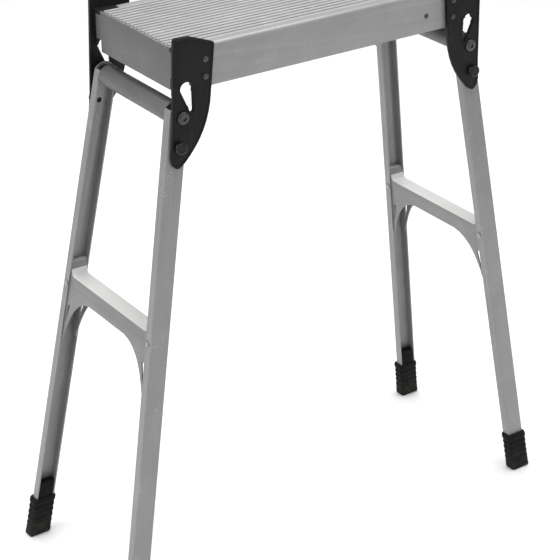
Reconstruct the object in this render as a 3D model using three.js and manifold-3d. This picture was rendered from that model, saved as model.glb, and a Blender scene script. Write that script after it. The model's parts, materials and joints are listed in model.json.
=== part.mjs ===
// Folding work platform: a ribbed deck on two rails, four corner brackets and two folding leg frames.
// Millimetres, +Z up, +X along the deck, origin on the floor under the middle of the platform.

import * as THREE from 'three';
import { mergeVertices } from 'three/addons/utils/BufferGeometryUtils.js';
import Module from 'manifold-3d';

const wasm = await Module();
wasm.setup();

// ---- Driving dimensions -------------------------------------------------------------------------

const DECK_Z = 840; // height of the tread
const LEG_X = 230.6; // leg centre from the middle, lengthwise, at the height of the deck
const LEG_Y = 85.3; // leg centre from the middle, across, at the height of the deck
const SPLAY_X = 0.167; // how far a leg spreads for each millimetre that it drops
const SPLAY_Y = 0.07;
const GAP = 0.3; // between pieces that touch

const CHANNEL = { width: 30, depth: 14, wall: 2, corner: 2.5 }; // leg section, open inwards
const BOOT = { height: 67, sole: 10, side: 3, outer: 4, inner: 2.3, tongueTop: 95 };

const AXLE_Z = 748; // the leg frames turn about the upper crossbars
const AXLE_X = LEG_X + SPLAY_X * (DECK_Z - AXLE_Z);
const CROSSBAR = { radius: 15, bore: 12, halfLength: 84.2 };
const BOLT = { radius: 5, headRadius: 9, headHeight: 3.6, innerEnd: 74 };
const RUNNING = 0.4; // radial clearance of a bolt or a button in its hole

const RAIL = { face: 103, low: 782, wall: 3, flange: 15, foot: 17, halfLength: 221.5, edge: 6 };
const LEDGE = { drop: 8, reach: 10 };
const DECK = { halfLength: 248.8, thickness: 5.6, ribs: 19, ribWidth: 5, ribHeight: 1.6 };
const END_PANEL = { outer: 252.4, thickness: 3, low: 782, flange: 13, earLow: 799, earHigh: 833.7 };
const BRACE = { x: 120, width: 34, depth: 30, wall: 3 };

const BRACKET = { inner: 104.3, outer: 108, seat: 103.3, low: 678, edge: 263, edgeTop: 258.5, top: 858 };
const CORNER = { reachX: 222, reachY: 88, top: 846 };
const FINGER_HOLE = { x: 240, z: 787, radius: 9.5, tipX: 233, tipZ: 757, tipRadius: 3 };

const RUNG = { top: 447, height: 26, halfWidth: 12.6, wall: 2, flareLow: 341, tabTop: 467, web: 6 };
const RUNG_WINDOW = { low: 372, high: 402, width: 7 };
const RIVET = { radius: 2.2, head: 4.2, dome: 1.7 };
const RIVET_Z = RUNG.top - RUNG.height / 2; // the rivets between a leg and its rung
const RIVET_Y = -2; // from the centre of the leg's section

const BUTTON = { z: 708, nose: 102.6, shank: 3, capRadius: 8.4, capLow: 111.8, capHigh: 116 };
const STEPS_PER_TURN = 9;
const SPRING = { radius: 4.9, wire: 0.55, turns: 2.5, low: 106.7, high: 111.1, pocketRadius: 7 };

// ---- Small tools --------------------------------------------------------------------------------

/** The signed volume of a closed triangle mesh, positive when its faces point out. */
function signedVolume(position, index) {
  const a = new THREE.Vector3();
  const b = new THREE.Vector3();
  const c = new THREE.Vector3();
  let volume = 0;
  for (let i = 0; i < index.length; i += 3) {
    a.fromBufferAttribute(position, index[i]);
    b.fromBufferAttribute(position, index[i + 1]);
    c.fromBufferAttribute(position, index[i + 2]);
    volume += a.dot(b.cross(c));
  }
  return volume;
}

/** A solid made from a closed three.js geometry. */
function solid(geometry) {
  const bare = geometry.clone();
  bare.deleteAttribute('normal');
  bare.deleteAttribute('uv');
  const merged = mergeVertices(bare, 1e-4);
  const triVerts = new Uint32Array(merged.index.array);
  const position = merged.attributes.position;
  if (signedVolume(position, triVerts) < 0) {
    for (let i = 0; i < triVerts.length; i += 3) {
      const first = triVerts[i];
      triVerts[i] = triVerts[i + 1];
      triVerts[i + 1] = first;
    }
  }
  const vertProperties = new Float32Array(position.array);
  return new wasm.Manifold(new wasm.Mesh({ numProp: 3, vertProperties, triVerts }));
}

/** A three.js geometry made from a solid. */
function geometryOf(body) {
  const mesh = body.getMesh();
  const geometry = new THREE.BufferGeometry();
  geometry.setAttribute('position', new THREE.BufferAttribute(mesh.vertProperties, 3));
  geometry.setIndex(new THREE.BufferAttribute(mesh.triVerts, 1));
  geometry.computeVertexNormals();
  return geometry;
}

/** A closed outline through the given points. */
function outline(points) {
  return new THREE.Shape(points.map(([u, v]) => new THREE.Vector2(u, v)));
}

/** An outline drawn in X and Z, extruded across from y = low to y = high. */
function acrossY(shape, low, high, segments = 8) {
  const geometry = new THREE.ExtrudeGeometry(shape, {
    depth: high - low,
    bevelEnabled: false,
    curveSegments: segments,
  });
  geometry.rotateX(Math.PI / 2);
  geometry.translate(0, high, 0);
  return geometry;
}

/** An outline drawn in Y and Z, extruded lengthwise from x = low to x = high. */
function alongX(shape, low, high, segments = 4) {
  const geometry = new THREE.ExtrudeGeometry(shape, {
    depth: high - low,
    bevelEnabled: false,
    curveSegments: segments,
  });
  const turn = new THREE.Matrix4().set(0, 0, 1, low, 1, 0, 0, 0, 0, 1, 0, 0, 0, 0, 0, 1);
  geometry.applyMatrix4(turn);
  return geometry;
}

/** An outline drawn in X and Y, extruded upwards from z = low to z = high. */
function upZ(shape, low, high, segments = 3) {
  const geometry = new THREE.ExtrudeGeometry(shape, {
    depth: high - low,
    bevelEnabled: false,
    curveSegments: segments,
  });
  geometry.translate(0, 0, low);
  return geometry;
}

/** A plain block between two corners. */
function block(x0, x1, y0, y1, z0, z1) {
  const geometry = new THREE.BoxGeometry(x1 - x0, y1 - y0, z1 - z0);
  geometry.translate((x0 + x1) / 2, (y0 + y1) / 2, (z0 + z1) / 2);
  return geometry;
}

/** A turned piece about a line along Y through (x, z); its profile is a list of radius and y. */
function turnedY(profile, x, z, segments = 16) {
  const points = profile.map(([radius, y]) => new THREE.Vector2(radius, y));
  const geometry = new THREE.LatheGeometry(points, segments);
  geometry.translate(x, 0, z);
  return geometry;
}

/** A round drill along Y through (x, z). */
function drillY(radius, x, z, low, high) {
  return turnedY([[0, low], [radius, low], [radius, high], [0, high]], x, z, 16);
}

/** A rectangle with rounded corners, centred on (cx, cy). */
function roundedRectangle(width, height, radius, cx = 0, cy = 0) {
  const x0 = cx - width / 2;
  const x1 = cx + width / 2;
  const y0 = cy - height / 2;
  const y1 = cy + height / 2;
  const shape = new THREE.Shape();
  shape.moveTo(x0 + radius, y0);
  shape.lineTo(x1 - radius, y0);
  shape.absarc(x1 - radius, y0 + radius, radius, -Math.PI / 2, 0, false);
  shape.lineTo(x1, y1 - radius);
  shape.absarc(x1 - radius, y1 - radius, radius, 0, Math.PI / 2, false);
  shape.lineTo(x0 + radius, y1);
  shape.absarc(x0 + radius, y1 - radius, radius, Math.PI / 2, Math.PI, false);
  shape.lineTo(x0, y0 + radius);
  shape.absarc(x0 + radius, y0 + radius, radius, Math.PI, Math.PI * 1.5, false);
  return shape;
}

/** Leans a piece that was drawn upright at the origin onto the line of the leg at +X, +Y. */
function leaned(geometry) {
  const lean = new THREE.Matrix4().set(
    1, 0, -SPLAY_X, LEG_X + SPLAY_X * DECK_Z,
    0, 1, -SPLAY_Y, LEG_Y + SPLAY_Y * DECK_Z,
    0, 0, 1, 0,
    0, 0, 0, 1,
  );
  return geometry.applyMatrix4(lean);
}

/** Where the centre of the leg is across the platform at height z. */
function legY(z) {
  return LEG_Y + SPLAY_Y * (DECK_Z - z);
}

/** Where the centre of the leg is lengthwise at height z. */
function legX(z) {
  return LEG_X + SPLAY_X * (DECK_Z - z);
}

/** A copy of a solid in another quarter of the platform. */
function inQuarter(body, sx, sy) {
  const geometry = geometryOf(body);
  geometry.scale(sx, sy, 1);
  return geometryOf(solid(geometry));
}

// ---- Finishes -----------------------------------------------------------------------------------

function finish(color, roughness, metalness) {
  return () => new THREE.MeshStandardMaterial({ color, roughness, metalness });
}

const deckGrey = finish(0xb9babd, 0.55, 0.5);
const railGrey = finish(0x98989a, 0.5, 0.5);
const legGrey = finish(0xa4a6a7, 0.45, 0.6);
const panelGrey = finish(0x77787a, 0.55, 0.4);
const rungLight = finish(0xd4d4d2, 0.4, 0.6);
const bracketBlack = finish(0x222322, 0.5, 0.0);
const rubberBlack = finish(0x1b1a1a, 0.85, 0.0);
const steelBright = finish(0x8b8d90, 0.35, 0.9);

const platform = new THREE.Group();

/** Adds one named piece to the platform. */
function add(name, geometry, material) {
  const mesh = new THREE.Mesh(geometry, material());
  mesh.name = name;
  platform.add(mesh);
}

// ---- Deck, rails and panels ---------------------------------------------------------------------

/** The tread: one extrusion with fine ribs along it. */
function deckPanel() {
  const half = RAIL.face - RAIL.flange - GAP;
  const base = DECK_Z - DECK.ribHeight;
  const pitch = (2 * half - DECK.ribWidth) / (DECK.ribs - 1);
  const points = [[half, base - DECK.thickness], [half, base]];
  for (let i = 0; i < DECK.ribs; i += 1) {
    const y = half - DECK.ribWidth / 2 - i * pitch;
    points.push([y + DECK.ribWidth / 2, base]);
    points.push([y + DECK.ribWidth / 2 - 0.8, DECK_Z]);
    points.push([y - DECK.ribWidth / 2 + 0.8, DECK_Z]);
    points.push([y - DECK.ribWidth / 2, base]);
  }
  points.push([-half, base - DECK.thickness]);
  const clean = points.filter((p, i) => i === 0 || p[0] !== points[i - 1][0] || p[1] !== points[i - 1][1]);
  return geometryOf(solid(alongX(outline(clean), -DECK.halfLength, DECK.halfLength)));
}

/** A side rail: a C section with a rounded upper edge and a ledge that carries the tread. */
function rail(side) {
  const { face, low, wall, flange, foot, edge } = RAIL;
  const inner = face - flange;
  const step = DECK_Z - LEDGE.drop;
  const shape = new THREE.Shape();
  shape.moveTo(face, low);
  shape.lineTo(face, DECK_Z - edge);
  shape.absarc(face - edge, DECK_Z - edge, edge, 0, Math.PI / 2, false);
  shape.lineTo(inner, DECK_Z);
  shape.lineTo(inner, step);
  shape.lineTo(inner - LEDGE.reach, step);
  shape.lineTo(inner - LEDGE.reach, step - wall);
  shape.lineTo(inner + wall, step - wall);
  shape.lineTo(inner + wall, DECK_Z - wall);
  shape.lineTo(face - edge, DECK_Z - wall);
  shape.absarc(face - edge, DECK_Z - edge, edge - wall, Math.PI / 2, 0, true);
  shape.lineTo(face - wall, low + wall);
  shape.lineTo(face - foot, low + wall);
  shape.lineTo(face - foot, low);
  let body = solid(alongX(shape, -RAIL.halfLength, RAIL.halfLength));
  for (const [x, z] of bracketRivetPlaces()) {
    body = body.subtract(solid(drillY(RIVET.radius + GAP, x, z, face - 5, face + 1)));
    body = body.subtract(solid(drillY(RIVET.radius + GAP, -x, z, face - 5, face + 1)));
  }
  return inQuarter(body, 1, side);
}

/** An end panel: an upright plate with a lip under the tread. */
function endPanel(side) {
  const { outer, thickness, low, flange, earLow, earHigh } = END_PANEL;
  const high = DECK_Z - DECK.ribHeight - DECK.thickness - GAP;
  const half = CORNER.reachY - GAP;
  const shape = outline([
    [outer, low],
    [outer, DECK_Z],
    [outer - thickness, DECK_Z],
    [outer - thickness, high],
    [outer - flange, high],
    [outer - flange, high - thickness],
    [outer - thickness, high - thickness],
    [outer - thickness, low],
  ]);
  const earReach = BRACKET.seat - 3 - GAP;
  const ears = block(outer - thickness, outer, -earReach, earReach, earLow, earHigh);
  const body = solid(acrossY(shape, -half, half)).add(solid(ears));
  return inQuarter(body, side, 1);
}

/** A brace between the rails under the tread, open downwards. */
function brace(side) {
  const { x, width, depth, wall } = BRACE;
  const high = DECK_Z - LEDGE.drop - RAIL.wall - GAP;
  const half = RAIL.face - RAIL.foot - GAP;
  const body = solid(block(x - width / 2, x + width / 2, -half, half, high - depth, high));
  const hollow = solid(
    block(x - width / 2 + wall, x + width / 2 - wall, -half - 1, half + 1, high - depth - 1, high - wall),
  );
  return inQuarter(body.subtract(hollow), side, 1);
}

// ---- Corner brackets ----------------------------------------------------------------------------

/** The face of a bracket: square at the deck, then narrowing to a rounded tip on the leg. */
function bracketOutline() {
  const shape = new THREE.Shape();
  shape.moveTo(199, DECK_Z + 4);
  shape.lineTo(234, BRACKET.top - 1);
  shape.lineTo(BRACKET.edgeTop - 5, BRACKET.top);
  shape.quadraticCurveTo(BRACKET.edgeTop, BRACKET.top, BRACKET.edgeTop, BRACKET.top - 6);
  shape.lineTo(BRACKET.edge, 720);
  shape.quadraticCurveTo(BRACKET.edge + 1, 706, BRACKET.edge + 2.5, 694);
  shape.quadraticCurveTo(BRACKET.edge + 1, BRACKET.low, 254, BRACKET.low);
  shape.quadraticCurveTo(244, BRACKET.low + 4, 230, 700);
  shape.quadraticCurveTo(208, 727, 203, 764);
  shape.lineTo(196, DECK_Z);
  shape.quadraticCurveTo(195.6, DECK_Z + 3, 199, DECK_Z + 4);
  return shape;
}

/** The teardrop finger hole, round at the top and narrowing to the bottom. */
function fingerHoleOutline() {
  const { x, z, radius, tipX, tipZ, tipRadius } = FINGER_HOLE;
  const shape = new THREE.Shape();
  shape.absarc(x, z, radius, -0.12, Math.PI + 0.3, false);
  shape.absarc(tipX, tipZ, tipRadius, Math.PI + 0.3, 2 * Math.PI - 0.12, false);
  return shape;
}

/** A moulded corner bracket: the outer plate, and the corner block that holds rail, panel and deck. */
function bracket(sx, sy) {
  const { inner, outer, seat, edge, low } = BRACKET;
  const buttonX = legX(BUTTON.z);
  const plate = solid(acrossY(bracketOutline(), seat, outer, 5));
  const relief = solid(
    block(CORNER.reachX - 60, edge + 10, seat - 1, inner, low - 10, RAIL.low - 1),
  );
  const corner = solid(
    block(CORNER.reachX, END_PANEL.outer, CORNER.reachY, seat + 1, RAIL.low + 6, CORNER.top),
  );
  const deckSeat = solid(
    block(CORNER.reachX - 9, END_PANEL.outer + GAP, CORNER.reachY - 1, seat - 3, RAIL.low, DECK_Z - 6),
  );
  const deckTop = solid(
    block(CORNER.reachX - 9, END_PANEL.outer + GAP, CORNER.reachY - 1, seat + 0.01, DECK_Z, CORNER.top + 1),
  );
  const fingerHole = solid(acrossY(fingerHoleOutline(), CORNER.reachY - 2, outer + 1, 7));
  let body = plate.subtract(relief).add(corner.subtract(deckSeat).subtract(deckTop));
  body = body.subtract(fingerHole);
  body = body.subtract(solid(drillY(BOLT.radius + RUNNING, AXLE_X, AXLE_Z, seat - 1, outer + 1)));
  body = body.subtract(solid(drillY(BUTTON.shank + RUNNING, buttonX, BUTTON.z, seat - 1, outer + 1)));
  body = body.subtract(solid(drillY(SPRING.pocketRadius, buttonX, BUTTON.z, 106, outer + 1)));
  for (const [x, z] of bracketRivetPlaces()) {
    body = body.subtract(solid(drillY(RIVET.radius + GAP, x, z, seat - 1, outer + 1)));
  }
  return inQuarter(body, sx, sy);
}

/** Where the two rivets of a bracket go through its plate into the rail. */
function bracketRivetPlaces() {
  return [
    [210, 822],
    [210, 798],
  ];
}

/** A dome-headed rivet along Y, from inside the rail to its head on the bracket. */
function bracketRivet(x, z, sx, sy) {
  const low = RAIL.face - RAIL.wall - 2;
  const { outer } = BRACKET;
  const profile = [
    [0, low],
    [RIVET.radius, low],
    [RIVET.radius, outer + GAP],
    [RIVET.head, outer + GAP],
    [RIVET.head * 0.82, outer + GAP + RIVET.dome * 0.7],
    [RIVET.head * 0.4, outer + GAP + RIVET.dome],
    [0, outer + GAP + RIVET.dome],
  ];
  return inQuarter(solid(turnedY(profile, x, z, 10)), sx, sy);
}

// ---- Leg frames ---------------------------------------------------------------------------------

/** The section of a leg: a channel with rounded outer corners, open towards the middle. */
function channelOutline() {
  const { width, depth, wall, corner } = CHANNEL;
  const w = width / 2;
  const d = depth / 2;
  const shape = new THREE.Shape();
  shape.moveTo(-w, -d);
  shape.lineTo(-w + wall, -d);
  shape.lineTo(-w + wall, d - wall);
  shape.lineTo(w - wall, d - wall);
  shape.lineTo(w - wall, -d);
  shape.lineTo(w, -d);
  shape.lineTo(w, d - corner);
  shape.absarc(w - corner, d - corner, corner, 0, Math.PI / 2, false);
  shape.lineTo(-w + corner, d);
  shape.absarc(-w + corner, d - corner, corner, Math.PI / 2, Math.PI, false);
  return shape;
}

/** The side view of a leg, straight up to the axle and round over it. */
function legProfile(low) {
  const w = CHANNEL.width / 2 + 1;
  const shape = new THREE.Shape();
  shape.moveTo(-w, low);
  shape.lineTo(w, low);
  shape.lineTo(w, AXLE_Z);
  shape.absarc(0, AXLE_Z, w, 0, Math.PI, false);
  return shape;
}

/** A hole along X for the rivets between a leg and its rung, drawn upright at the given y. */
function rivetHole(y) {
  const hole = new THREE.CylinderGeometry(RIVET.radius + GAP, RIVET.radius + GAP, 60, 10);
  hole.rotateZ(Math.PI / 2);
  hole.translate(0, y, RIVET_Z);
  return hole;
}

/** A leg: the channel, round at the top, with holes for the axle, the button and the rivets. */
function leg(sx, sy) {
  const low = BOOT.sole + GAP;
  const high = AXLE_Z + CHANNEL.width;
  const half = CHANNEL.depth;
  let body = solid(upZ(channelOutline(), low, high));
  body = body.intersect(solid(acrossY(legProfile(low - 1), -half, half, 12)));
  body = body.subtract(solid(rivetHole(RIVET_Y)));
  body = solid(leaned(geometryOf(body)));
  const reach = [60, 140];
  body = body.subtract(solid(drillY(BOLT.radius + GAP, AXLE_X, AXLE_Z, ...reach)));
  body = body.subtract(solid(drillY(BUTTON.shank + 1, legX(BUTTON.z), BUTTON.z, ...reach)));
  return inQuarter(body, sx, sy);
}

/** The bush in the head of a leg: a disc in the channel with a spigot in the crossbar. */
function headBush(sx, sy) {
  const outerY = legY(AXLE_Z) + CHANNEL.depth / 2 - CHANNEL.wall - 1.4;
  const bore = BOLT.radius + GAP;
  const disc = CHANNEL.width / 2 - CHANNEL.wall - 0.9;
  const spigot = CROSSBAR.bore - GAP;
  const shoulder = CROSSBAR.halfLength + GAP;
  const profile = [
    [bore, shoulder - 11],
    [spigot - 1, shoulder - 11],
    [spigot, shoulder - 10],
    [spigot, shoulder],
    [disc, shoulder],
    [disc, outerY],
    [bore, outerY],
    [bore, shoulder - 11],
  ];
  return inQuarter(solid(turnedY(profile, AXLE_X, AXLE_Z)), sx, sy);
}

/** The upper crossbar: a tube between the two legs of a frame. */
function crossbar(sx) {
  const { radius, bore, halfLength } = CROSSBAR;
  const profile = [
    [bore, -halfLength],
    [radius - 0.8, -halfLength],
    [radius, -halfLength + 0.8],
    [radius, halfLength - 0.8],
    [radius - 0.8, halfLength],
    [bore, halfLength],
    [bore, -halfLength],
  ];
  return inQuarter(solid(turnedY(profile, AXLE_X, AXLE_Z, 24)), sx, 1);
}

/** The bolt that a leg turns on, with a low domed head on the face of the bracket. */
function pivotBolt(sx, sy) {
  const { radius, headRadius, headHeight, innerEnd } = BOLT;
  const face = BRACKET.outer + GAP;
  const profile = [
    [0, innerEnd],
    [radius - 0.8, innerEnd],
    [radius, innerEnd + 0.8],
    [radius, face],
    [headRadius, face],
    [headRadius, face + headHeight * 0.4],
    [headRadius * 0.8, face + headHeight * 0.85],
    [headRadius * 0.45, face + headHeight],
    [0, face + headHeight],
  ];
  return inQuarter(solid(turnedY(profile, AXLE_X, AXLE_Z)), sx, sy);
}

/** A rubber foot: a boot around the end of the leg, with a tongue up the inside of the channel. */
function foot(sx, sy) {
  const { height, sole, side, outer, inner, tongueTop } = BOOT;
  const { width, depth, wall } = CHANNEL;
  const w = width + 2 * side;
  const d = depth + outer + inner;
  const shift = (outer - inner) / 2;
  let body = solid(upZ(roundedRectangle(w, d, 4, 0, shift), 0, height));
  const collar = roundedRectangle(w + 2, d + 1.2, 4, 0, shift + 0.6);
  body = body.add(solid(upZ(collar, height - 9, height - 3)));
  const pocketX = width / 2 + GAP;
  const pocketY = depth / 2 + GAP;
  const pocket = block(-pocketX, pocketX, -pocketY, pocketY, sole, height + 1);
  body = body.subtract(solid(pocket));
  const tongueX = width / 2 - wall - GAP;
  const tongueY = depth / 2 - wall - GAP;
  body = body.add(solid(block(-tongueX, tongueX, -depth / 2 - GAP - 0.1, tongueY, sole - 1, tongueTop)));
  return inQuarter(solid(leaned(geometryOf(body))), sx, sy);
}

/** The side view of a rung: level on top, arched below, with a flare down each leg and a tab up it. */
function rungOutline() {
  const { top, height, flareLow, tabTop, web } = RUNG;
  const reach = (z) => legY(z) + CHANNEL.depth / 2 - CHANNEL.wall - 0.6;
  const inside = (z) => legY(z) - CHANNEL.depth / 2;
  const low = top - height;
  const shape = new THREE.Shape();
  shape.moveTo(reach(flareLow), flareLow);
  shape.lineTo(reach(tabTop), tabTop);
  shape.lineTo(inside(tabTop) + 2, tabTop);
  shape.quadraticCurveTo(inside(top), top + 3, inside(top) - 8, top);
  shape.lineTo(-inside(top) + 8, top);
  shape.quadraticCurveTo(-inside(top), top + 3, -inside(tabTop) - 2, tabTop);
  shape.lineTo(-reach(tabTop), tabTop);
  shape.lineTo(-reach(flareLow), flareLow);
  shape.lineTo(-inside(flareLow), flareLow);
  shape.bezierCurveTo(
    -inside(flareLow) + web * 2, low - 38, -inside(low) + 22, low - 4, -inside(low) + 60, low,
  );
  shape.lineTo(inside(low) - 60, low);
  shape.bezierCurveTo(
    inside(low) - 22, low - 4, inside(flareLow) - web * 2, low - 38, inside(flareLow), flareLow,
  );
  return shape;
}

/** A small window in the flare of a rung, beside the leg on the given side. */
function rungWindow(side) {
  const { low, high, width } = RUNG_WINDOW;
  const inside = (z) => legY(z) - CHANNEL.depth / 2 - 2.5;
  const shape = outline([
    [side * inside(low), low],
    [side * inside(high), high],
    [side * (inside(high) - width), high],
    [side * (inside(low) - width * 0.3), low],
  ]);
  return shape;
}

/** An arched rung, pressed from sheet: a flat top and two side plates, open below. */
function rung(sx) {
  const { top, halfWidth, wall } = RUNG;
  const span = 140;
  let body = solid(alongX(rungOutline(), -halfWidth, halfWidth, 8));
  body = body.subtract(
    solid(block(-halfWidth + wall, halfWidth - wall, -span, span, RUNG.flareLow - 5, top - wall)),
  );
  for (const side of [-1, 1]) {
    body = body.subtract(solid(alongX(rungWindow(side), -halfWidth - 1, halfWidth + 1)));
    body = body.subtract(solid(rivetHole(side * (legY(RIVET_Z) + RIVET_Y))));
  }
  const geometry = geometryOf(body);
  const lean = new THREE.Matrix4().set(
    1, 0, -SPLAY_X, LEG_X + SPLAY_X * DECK_Z,
    0, 1, 0, 0,
    0, 0, 1, 0,
    0, 0, 0, 1,
  );
  geometry.applyMatrix4(lean);
  return inQuarter(solid(geometry), sx, 1);
}

/** A rivet along X through one side of a leg into the rung; outward is +1 on the outer side. */
function rungRivet(sx, sy, outward) {
  const face = CHANNEL.width / 2 + GAP;
  const profile = [
    [0, CHANNEL.width / 2 - CHANNEL.wall - RUNG.wall - 1.4],
    [RIVET.radius, CHANNEL.width / 2 - CHANNEL.wall - RUNG.wall - 1.4],
    [RIVET.radius, face],
    [RIVET.head, face],
    [RIVET.head * 0.82, face + RIVET.dome * 0.7],
    [RIVET.head * 0.4, face + RIVET.dome],
    [0, face + RIVET.dome],
  ];
  const points = profile.map(([radius, y]) => new THREE.Vector2(radius, y));
  const geometry = new THREE.LatheGeometry(points, 10);
  geometry.rotateZ(outward > 0 ? -Math.PI / 2 : Math.PI / 2);
  geometry.translate(0, RIVET_Y, RIVET_Z);
  return inQuarter(solid(leaned(geometry)), sx, sy);
}

// ---- Release buttons ----------------------------------------------------------------------------

/** A release button: a domed cap outside the bracket on a shank through its plate. */
function releaseButton(sx, sy) {
  const { z, nose, shank, capRadius, capLow, capHigh } = BUTTON;
  const profile = [
    [0, nose],
    [shank - 0.6, nose],
    [shank, nose + 0.6],
    [shank, capLow],
    [capRadius, capLow],
    [capRadius, capHigh - 1.6],
    [capRadius * 0.86, capHigh - 0.5],
    [capRadius * 0.5, capHigh],
    [0, capHigh],
  ];
  return inQuarter(solid(turnedY(profile, legX(z), z)), sx, sy);
}

/** The coil spring under the cap of a release button. */
function buttonSpring(sx, sy) {
  const { radius, wire, turns, low, high } = SPRING;
  const points = [];
  const steps = Math.round(turns * STEPS_PER_TURN);
  for (let i = 0; i <= steps; i += 1) {
    const angle = (i / STEPS_PER_TURN) * 2 * Math.PI;
    const y = low + ((high - low) * i) / steps;
    points.push(new THREE.Vector3(radius * Math.cos(angle), y, radius * Math.sin(angle)));
  }
  const path = new THREE.CatmullRomCurve3(points);
  const section = new THREE.Shape();
  section.absarc(0, 0, wire, 0, 2 * Math.PI, false);
  const geometry = new THREE.ExtrudeGeometry(section, {
    steps,
    curveSegments: 2,
    bevelEnabled: false,
    extrudePath: path,
  });
  geometry.translate(legX(BUTTON.z), 0, BUTTON.z);
  return inQuarter(solid(geometry), sx, sy);
}

// ---- The whole platform -------------------------------------------------------------------------

const ENDS = [['left', -1], ['right', 1]];
const SIDES = [['front', -1], ['back', 1]];

add('deck_panel', deckPanel(), deckGrey);
for (const [side, sy] of SIDES) {
  add(`${side}_rail`, rail(sy), railGrey);
}
for (const [end, sx] of ENDS) {
  add(`${end}_end_panel`, endPanel(sx), panelGrey);
  add(`${end}_deck_brace`, brace(sx), railGrey);
  add(`${end}_crossbar`, crossbar(sx), panelGrey);
  add(`${end}_rung`, rung(sx), rungLight);
  for (const [side, sy] of SIDES) {
    const corner = `${side}_${end}`;
    add(`${corner}_bracket`, bracket(sx, sy), bracketBlack);
    bracketRivetPlaces().forEach(([x, z], i) => {
      add(`${corner}_bracket_rivet_${i + 1}`, bracketRivet(x, z, sx, sy), steelBright);
    });
    add(`${corner}_leg`, leg(sx, sy), legGrey);
    add(`${corner}_head_bush`, headBush(sx, sy), bracketBlack);
    add(`${corner}_pivot_bolt`, pivotBolt(sx, sy), steelBright);
    add(`${corner}_foot`, foot(sx, sy), rubberBlack);
    add(`${corner}_rung_rivet_outer`, rungRivet(sx, sy, 1), steelBright);
    add(`${corner}_rung_rivet_inner`, rungRivet(sx, sy, -1), steelBright);
    add(`${corner}_release_button`, releaseButton(sx, sy), bracketBlack);
    add(`${corner}_button_spring`, buttonSpring(sx, sy), steelBright);
  }
}

export default platform;
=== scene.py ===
"""Looks of a folding work platform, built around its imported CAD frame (metres, +Z up)."""

import json
import logging
import math
from dataclasses import dataclass, field
from enum import Enum

import bmesh
import bpy
from mathutils import Matrix, Vector

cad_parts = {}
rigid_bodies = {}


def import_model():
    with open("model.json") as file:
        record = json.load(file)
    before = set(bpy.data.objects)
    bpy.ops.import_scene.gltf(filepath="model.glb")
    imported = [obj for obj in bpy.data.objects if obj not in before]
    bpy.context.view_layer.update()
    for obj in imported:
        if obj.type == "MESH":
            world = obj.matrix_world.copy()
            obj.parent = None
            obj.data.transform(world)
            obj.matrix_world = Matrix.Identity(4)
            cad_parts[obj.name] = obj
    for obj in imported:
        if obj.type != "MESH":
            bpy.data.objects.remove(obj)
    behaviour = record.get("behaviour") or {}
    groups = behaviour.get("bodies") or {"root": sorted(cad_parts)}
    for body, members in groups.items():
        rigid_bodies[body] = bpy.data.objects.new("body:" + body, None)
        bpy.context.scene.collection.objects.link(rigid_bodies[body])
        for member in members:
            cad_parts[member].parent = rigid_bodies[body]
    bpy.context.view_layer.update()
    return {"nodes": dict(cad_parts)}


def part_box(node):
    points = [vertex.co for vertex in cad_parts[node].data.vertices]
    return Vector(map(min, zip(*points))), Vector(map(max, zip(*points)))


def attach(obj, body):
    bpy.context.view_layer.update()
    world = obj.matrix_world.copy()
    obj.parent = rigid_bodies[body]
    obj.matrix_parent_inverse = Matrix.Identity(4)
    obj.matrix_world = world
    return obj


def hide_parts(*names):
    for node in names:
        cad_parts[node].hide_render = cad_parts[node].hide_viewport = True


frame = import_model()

LOG = logging.getLogger("platform")
MM = 0.001
WELD = 1e-6
SHARP_ANGLE = 0.6
FLAT_ANGLE = 0.01
MITRE_LIMIT = 0.5
RIVET = (4.2 * MM, 1.7 * MM)
RAIL_RIVET = (3.6 * MM, 1.3 * MM)
MIX_A, MIX_B, MIX_RESULT = 6, 7, 2
SPRING_TURNS = 3.0
SPRING_WIRE = 0.55 * MM

Socket = bpy.types.NodeSocket
Mesh = bpy.types.Mesh
BMesh = bmesh.types.BMesh
Profile = list[tuple[float, float]]
Points = list[tuple[Vector, Vector]]


class End(Enum):
    """The two ends of the platform, with their side of X."""

    LEFT = -1
    RIGHT = 1

    @property
    def word(self) -> str:
        """The end's word in node names."""
        return self.name.lower()


class Side(Enum):
    """The two long sides of the platform, with their side of Y."""

    FRONT = -1
    BACK = 1

    @property
    def word(self) -> str:
        """The side's word in node names."""
        return self.name.lower()


class Grain(Enum):
    """The way that drawn or brushed lines run on a metal piece."""

    LENGTHWISE = (6.0, 260.0, 260.0)
    ACROSS = (260.0, 6.0, 260.0)
    UPRIGHT = (260.0, 260.0, 6.0)


class Slot(Enum):
    """Material slots of the record."""

    DECK = "deck"
    RAIL = "rail"
    PANEL = "panel"
    LEG = "leg"
    RUNG = "rung"
    BRACKET = "bracket"
    BUTTON = "button"
    RUBBER = "rubber"
    FASTENER = "fastener"


def corner_name(side: Side, end: End) -> str:
    """The words of a corner in node names."""
    return f"{side.word}_{end.word}"


# ---- Node trees ---------------------------------------------------------------------------------


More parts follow.
